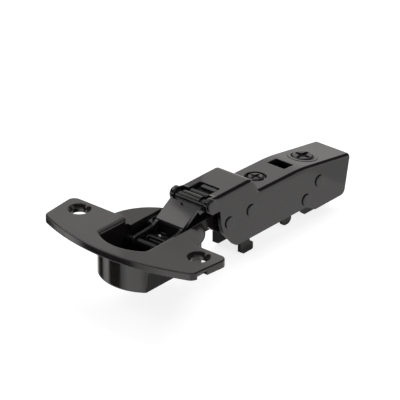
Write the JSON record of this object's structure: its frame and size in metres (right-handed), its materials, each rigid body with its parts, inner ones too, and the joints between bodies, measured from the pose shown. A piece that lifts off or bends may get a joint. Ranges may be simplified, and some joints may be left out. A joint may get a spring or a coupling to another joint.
{
  "type": "concealed cabinet hinge",
  "caption": "Concealed cabinet hinge with a round cup, a screw-on flange, links and a channelled arm on a clip-on carrier, door at right angles.",
  "frame": {"origin": "centre of the 35 mm cup bore on the door's face, at the underside of the flange", "axes": "+X along the pivot pins, +Y from the cup to the rear of the arm, +Z out of the mouth of the cup"},
  "size_m": [0.0674, 0.1179, 0.0284],
  "materials": {
    "black_zinc": "satin black on die-cast zinc",
    "black_steel": "satin black on sheet steel",
    "black_pin": "black plated steel",
    "spring_steel": "drawn",
    "black_plastic": "matt"
  },
  "bodies": {
    "carrier": {"clip_carrier": "black_steel", "latch_axle": "black_pin", "latch_spring": "spring_steel"},
    "latch": {"release_latch": "black_steel"},
    "guide": {"guide_block": "black_plastic"},
    "arm": {"hinge_arm": "black_steel", "front_pin": "black_pin", "inner_link_pin": "black_pin", "damper_rivet": "black_pin", "guide_rivet": "black_pin", "rear_rivet": "black_pin", "damper_housing": "black_plastic", "cam_bush": "black_pin"},
    "outer_link_body": {"outer_link": "black_steel"},
    "cup": {"hinge_cup": "black_zinc", "cup_pin_outer": "black_pin", "cup_pin_inner": "black_pin"},
    "inner_link_body": {"inner_link": "black_steel"},
    "rod": {"damper_rod": "black_pin"},
    "overlay_adjuster": {"overlay_screw": "black_pin"},
    "depth_adjuster": {"depth_cam": "black_pin"}
  },
  "joints": [
    {"name": "release_catch", "type": "hinge", "parent": "carrier", "child": "latch", "pos_m": [0, 0.0835, -0.0145], "axis": [1, 0, 0], "range_deg": [0, 12], "stiffness_Nm_per_rad": 0.02, "springref_deg": -17.19, "deforming": ["latch_spring"]},
    {"name": "depth_slide", "type": "slide", "parent": "carrier", "child": "guide", "axis": [0, 1, 0], "range_m": [-0.00151, 0.00151]},
    {"name": "overlay_tilt", "type": "hinge", "parent": "guide", "child": "arm", "pos_m": [0, 0.0719, -0.0128], "axis": [1, 0, 0], "range_deg": [-1.5, 1.5]},
    {"name": "door_swing", "type": "hinge", "parent": "arm", "child": "outer_link_body", "pos_m": [0, 0.0218, 0.0042], "axis": [1, 0, 0], "range_deg": [-2.23, 40.09]},
    {"name": "cup_pivot", "type": "hinge", "parent": "outer_link_body", "child": "cup", "pos_m": [0, -0.0006, -0.0042], "axis": [1, 0, 0], "range_deg": [-130.12, 7.25]},
    {"name": "inner_pivot", "type": "hinge", "parent": "cup", "child": "inner_link_body", "pos_m": [0, 0.004, -0.0052], "axis": [1, 0, 0], "range_deg": [-7.18, 128.83]},
    {"name": "damper_travel", "type": "slide", "parent": "arm", "child": "rod", "axis": [0, 1, 0], "range_m": [-0.0001, 0.00171]},
    {"name": "overlay_turn", "type": "hinge", "parent": "arm", "child": "overlay_adjuster", "pos_m": [0, 0.0542, 0], "axis": [0, 0, 1], "range_deg": [-209, 209]},
    {"name": "depth_turn", "type": "hinge", "parent": "arm", "child": "depth_adjuster", "pos_m": [0, 0.0794, 0], "axis": [0, 0, 1], "range_deg": [-150, 150]}
  ],
  "couplings": [
    {"joint": "cup_pivot", "follows": "door_swing", "ratio": -3.2447},
    {"joint": "inner_pivot", "follows": "door_swing", "ratio": 3.2126},
    {"joint": "damper_travel", "follows": "door_swing", "m_per_rad": 0.002429},
    {"joint": "overlay_turn", "follows": "overlay_tilt", "ratio": 139},
    {"joint": "depth_slide", "follows": "depth_turn", "m_per_rad": 0.00057296}
  ]
}
